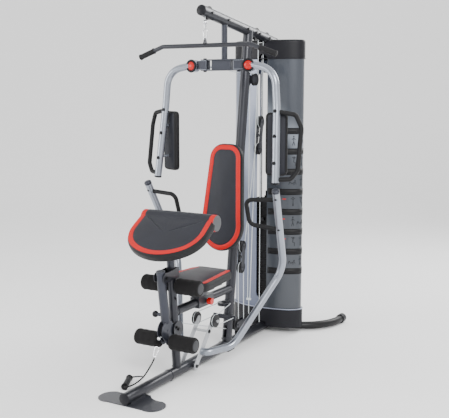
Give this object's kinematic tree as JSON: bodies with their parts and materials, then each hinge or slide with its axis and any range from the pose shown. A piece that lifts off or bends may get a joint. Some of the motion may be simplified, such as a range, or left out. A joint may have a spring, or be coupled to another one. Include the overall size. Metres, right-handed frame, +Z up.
{
  "type": "multi station home gym",
  "caption": "Home gym: leaning upright with top beam and lat bar, butterfly arms, press arms, seat, preacher pad, leg lever and a cable driven weight stack in an oval tower.",
  "frame": {"origin": "on the floor under the foot of the main upright, in the middle of the pad below the base beam", "axes": "+X across the machine, to the left of the seated user, who faces -Y; +Y towards the weight tower; +Z up"},
  "size_m": [1.032, 1.9916, 2.0508],
  "materials": {
    "frame_paint": "charcoal metallic paint, satin",
    "post_paint": "charcoal metallic paint, satin",
    "stabiliser_paint": "black paint, satin",
    "foot_paint": "dark grey paint, satin",
    "bracket_paint": "slate metallic paint, satin",
    "arm_paint": "silver blue metallic paint, satin",
    "black_plastic": "black moulded plastic",
    "shell_left": "light slate blue painted sheet",
    "shell_right": "slate grey painted sheet",
    "plate_iron": "black painted iron",
    "lat_paint": "dark grey metallic paint",
    "chrome_steel": "bright chrome",
    "bolt_steel": "black zinc",
    "grip_rubber": "ribbed black rubber",
    "foam_black": "closed cell foam, matte",
    "vinyl": "charcoal vinyl with fine grain",
    "carriage_paint": "grey paint",
    "knob_red": "red moulded plastic",
    "cable_steel": "nylon coated steel cable",
    "strap_web": "black nylon webbing",
    "block_steel": "grey plate",
    "pulley_plastic": "black nylon"
  },
  "bodies": {
    "frame": {"base_beam": "frame_paint", "front_foot": "foot_paint", "front_post": "post_paint", "seat_beam": "frame_paint", "main_upright": "frame_paint", "top_beam": "frame_paint", "rear_stabiliser": "stabiliser_paint", "tube_caps": "black_plastic", "fly_bracket": "bracket_paint", "upright_brackets": "post_paint", "back_pad": "vinyl", "guide_rods": "chrome_steel", "weight_plates": "plate_iron", "tower_shell_left": "shell_left", "tower_shell_right": "shell_right", "tower_cap_and_skirt": "black_plastic", "frame_bolts": "bolt_steel", "steel_cables": "cable_steel", "lat_cable": "cable_steel", "stack_cable": "cable_steel"},
    "lat": {"lat_bar": "lat_paint", "lat_grips": "grip_rubber", "lat_clip": "chrome_steel"},
    "fly_left": {"fly_arm_left": "arm_paint", "fly_pad_left": "vinyl", "fly_handle_left": "grip_rubber"},
    "fly_right": {"fly_arm_right": "arm_paint", "fly_pad_right": "vinyl", "fly_handle_right": "grip_rubber"},
    "press": {"press_arms": "arm_paint", "press_links": "arm_paint", "press_handles": "grip_rubber"},
    "lever": {"leg_lever": "arm_paint", "low_clip": "chrome_steel", "stirrup_strap": "strap_web", "stirrup_handle": "grip_rubber"},
    "thigh": {"thigh_rollers": "foam_black"},
    "shin": {"shin_rollers": "foam_black"},
    "seat": {"seat_cushion": "vinyl", "seat_carriage": "carriage_paint"},
    "knob": {"seat_knob": "knob_red"},
    "preacher": {"preacher_pad": "vinyl", "preacher_post": "chrome_steel"},
    "lifted": {"lifted_weights": "plate_iron"},
    "pin": {"selector_pin": "bolt_steel"},
    "block_a": {"float_a": "block_steel"},
    "block_b": {"float_b": "block_steel"},
    "front_pulley_wheel": {"front_pulley": "pulley_plastic"},
    "rear_pulley_front_wheel": {"rear_pulley_front": "pulley_plastic"},
    "rear_pulley_back_wheel": {"rear_pulley_back": "pulley_plastic"},
    "low_pulley_wheel": {"low_pulley": "pulley_plastic"},
    "lever_pulley_wheel": {"lever_pulley": "pulley_plastic"},
    "base_pulley_front_wheel": {"base_pulley_front": "pulley_plastic"},
    "base_pulley_back_wheel": {"base_pulley_back": "pulley_plastic"},
    "float_a_pulley_top_wheel": {"float_a_pulley_top": "pulley_plastic"},
    "float_a_pulley_low_wheel": {"float_a_pulley_low": "pulley_plastic"},
    "float_b_pulley_top_wheel": {"float_b_pulley_top": "pulley_plastic"},
    "float_b_pulley_low_wheel": {"float_b_pulley_low": "pulley_plastic"},
    "fly_pulleys_wheel": {"fly_pulleys": "pulley_plastic"},
    "press_pulleys_wheel": {"press_pulleys": "pulley_plastic"}
  },
  "joints": [
    {"name": "press_swing", "type": "hinge", "parent": "frame", "child": "press", "pos_m": [0, -0.436, 0.034], "axis": [1, 0, 0], "range_deg": [0, 17], "deforming": ["steel_cables"]},
    {"name": "fly_swing_left", "type": "hinge", "parent": "frame", "child": "fly_left", "pos_m": [-0.113, -0.06, 1.729], "axis": [0, 0, 1], "range_deg": [0, 24], "deforming": ["steel_cables"]},
    {"name": "fly_swing_right", "type": "hinge", "parent": "frame", "child": "fly_right", "pos_m": [0.113, -0.06, 1.729], "axis": [0, 0, -1], "range_deg": [0, 24], "deforming": ["steel_cables"]},
    {"name": "leg_swing", "type": "hinge", "parent": "frame", "child": "lever", "pos_m": [0, -0.702, 0.595], "axis": [-1, 0, 0], "range_deg": [0, 75], "deforming": ["steel_cables"]},
    {"name": "thigh_roll", "type": "hinge", "parent": "frame", "child": "thigh", "pos_m": [0, -0.60069, 0.533], "axis": [1, 0, 0], "continuous": true},
    {"name": "shin_roll", "type": "hinge", "parent": "lever", "child": "shin", "pos_m": [0, -0.663, 0.237], "axis": [1, 0, 0], "continuous": true},
    {"name": "stack_lift", "type": "slide", "parent": "frame", "child": "lifted", "axis": [0, 0, 1], "range_m": [0, 0.4], "deforming": ["stack_cable"]},
    {"name": "lat_pull", "type": "slide", "parent": "frame", "child": "lat", "axis": [0, 0, -1], "range_m": [0, 0.4], "deforming": ["lat_cable"]},
    {"name": "pin_pull", "type": "slide", "parent": "lifted", "child": "pin", "axis": [0, -1, 0], "range_m": [0, 0.024]},
    {"name": "seat_slide", "type": "slide", "parent": "frame", "child": "seat", "axis": [0, 1, 0], "range_m": [0, 0.09]},
    {"name": "knob_pull", "type": "slide", "parent": "seat", "child": "knob", "axis": [1, 0, 0], "range_m": [0, 0.008], "stiffness_N_per_m": 800, "springref_m": -0.004},
    {"name": "preacher_slide", "type": "slide", "parent": "frame", "child": "preacher", "axis": [0, -0.0836, 0.9965], "range_m": [0, 0.05]},
    {"name": "block_a_travel", "type": "slide", "parent": "frame", "child": "block_a", "axis": [0, 0, -1], "range_m": [0, 0.15], "deforming": ["steel_cables"]},
    {"name": "block_b_travel", "type": "slide", "parent": "frame", "child": "block_b", "axis": [0, 0, -1], "range_m": [0, 0.3], "deforming": ["steel_cables"]},
    {"name": "front_pulley_spin", "type": "hinge", "parent": "frame", "child": "front_pulley_wheel", "pos_m": [0, -0.211, 2.0105], "axis": [1, 0, 0], "continuous": true},
    {"name": "rear_pulley_front_spin", "type": "hinge", "parent": "frame", "child": "rear_pulley_front_wheel", "pos_m": [0, 0.362, 1.93028], "axis": [1, 0, 0], "continuous": true},
    {"name": "rear_pulley_back_spin", "type": "hinge", "parent": "frame", "child": "rear_pulley_back_wheel", "pos_m": [0, 0.498, 1.91124], "axis": [1, 0, 0], "continuous": true},
    {"name": "low_pulley_spin", "type": "hinge", "parent": "frame", "child": "low_pulley_wheel", "pos_m": [0, -0.57988, 0.285], "axis": [1, 0, 0], "continuous": true},
    {"name": "lever_pulley_spin", "type": "hinge", "parent": "lever", "child": "lever_pulley_wheel", "pos_m": [0, -0.668, 0.298], "axis": [1, 0, 0], "continuous": true},
    {"name": "base_pulley_front_spin", "type": "hinge", "parent": "frame", "child": "base_pulley_front_wheel", "pos_m": [0, 0.114, 0.13], "axis": [1, 0, 0], "continuous": true},
    {"name": "base_pulley_back_spin", "type": "hinge", "parent": "frame", "child": "base_pulley_back_wheel", "pos_m": [0, 0.25, 0.13], "axis": [1, 0, 0], "continuous": true},
    {"name": "float_a_pulley_top_spin", "type": "hinge", "parent": "block_a", "child": "float_a_pulley_top_wheel", "pos_m": [0, 0.19, 0.615], "axis": [1, 0, 0], "continuous": true},
    {"name": "float_a_pulley_low_spin", "type": "hinge", "parent": "block_a", "child": "float_a_pulley_low_wheel", "pos_m": [0, 0.178, 0.485], "axis": [1, 0, 0], "continuous": true},
    {"name": "float_b_pulley_top_spin", "type": "hinge", "parent": "block_b", "child": "float_b_pulley_top_wheel", "pos_m": [0, 0.43, 1.385], "axis": [1, 0, 0], "continuous": true},
    {"name": "float_b_pulley_low_spin", "type": "hinge", "parent": "block_b", "child": "float_b_pulley_low_wheel", "pos_m": [0, 0.398, 1.215], "axis": [1, 0, 0], "continuous": true},
    {"name": "fly_pulleys_spin", "type": "hinge", "parent": "frame", "child": "fly_pulleys_wheel", "pos_m": [0, 0.3, 1.65], "axis": [1, 0, 0], "continuous": true},
    {"name": "press_pulleys_spin", "type": "hinge", "parent": "press", "child": "press_pulleys_wheel", "pos_m": [0, -0.25, 0.254], "axis": [1, 0, 0], "continuous": true}
  ],
  "couplings": [
    {"joint": "lat_pull", "follows": "stack_lift", "ratio": 1}
  ]
}
